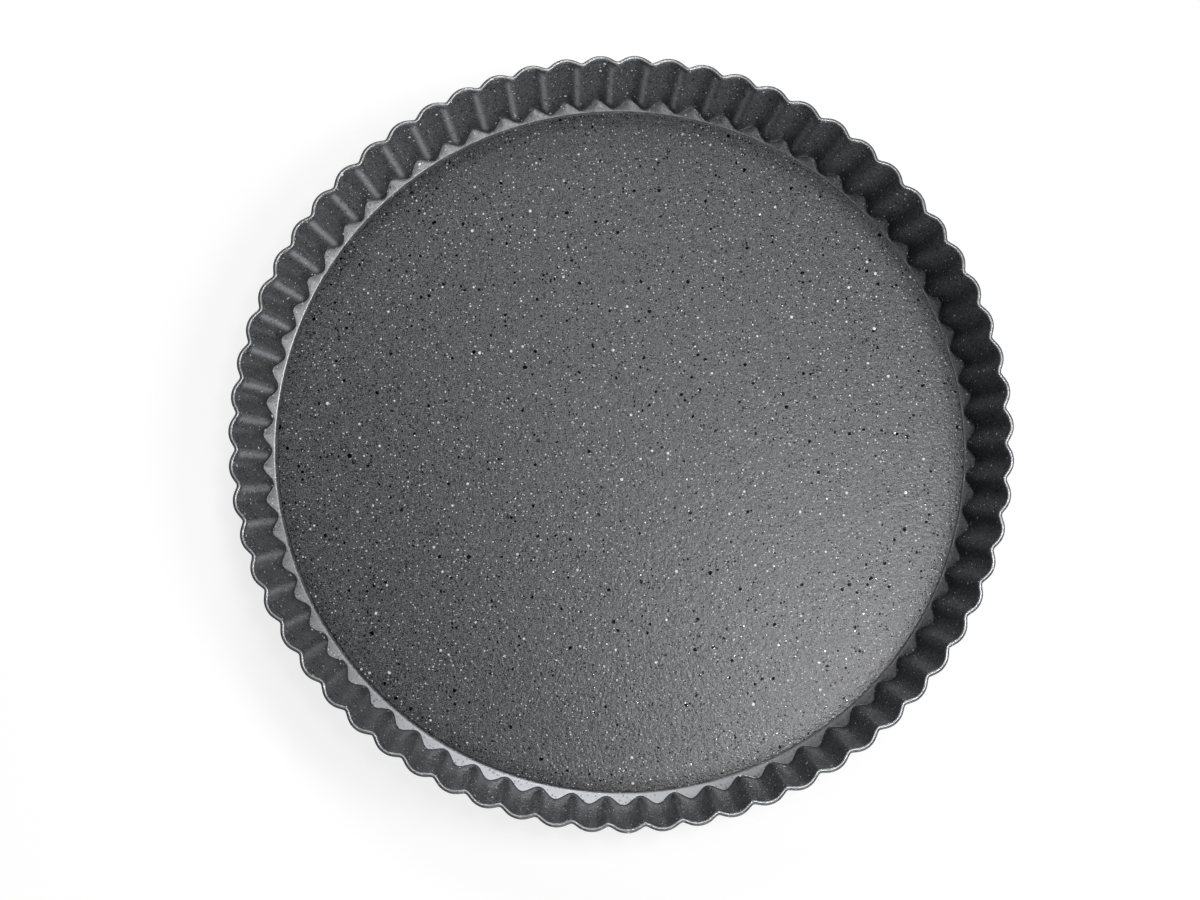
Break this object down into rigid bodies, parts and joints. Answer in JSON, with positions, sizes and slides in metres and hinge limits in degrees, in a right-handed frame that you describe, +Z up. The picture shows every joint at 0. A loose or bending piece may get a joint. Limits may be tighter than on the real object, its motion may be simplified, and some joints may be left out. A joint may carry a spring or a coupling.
{
  "type": "tart pan",
  "caption": "Round fluted tart tin with a sloping wall, a rolled rim, a shallow round seat and a loose flat base that lifts out.",
  "frame": {"origin": "centre of the ring's flat underside, on the surface that the tin stands on", "axes": "+Z up along the ring's centre line, +X through the crest of one flute"},
  "size_m": [0.2798, 0.28, 0.025],
  "materials": {
    "ring_coating": "semi-gloss dark grey non-stick coating with sparse pale flecks",
    "base_coating": "satin dark grey non-stick coating with pale and black flecks"
  },
  "bodies": {
    "ring": {"fluted_ring": "ring_coating"},
    "base": {"loose_base": "base_coating"}
  },
  "joints": [
    {"name": "base_lift", "type": "slide", "parent": "ring", "child": "base", "axis": [0, 0, 1], "range_m": [0, 0.05]}
  ]
}
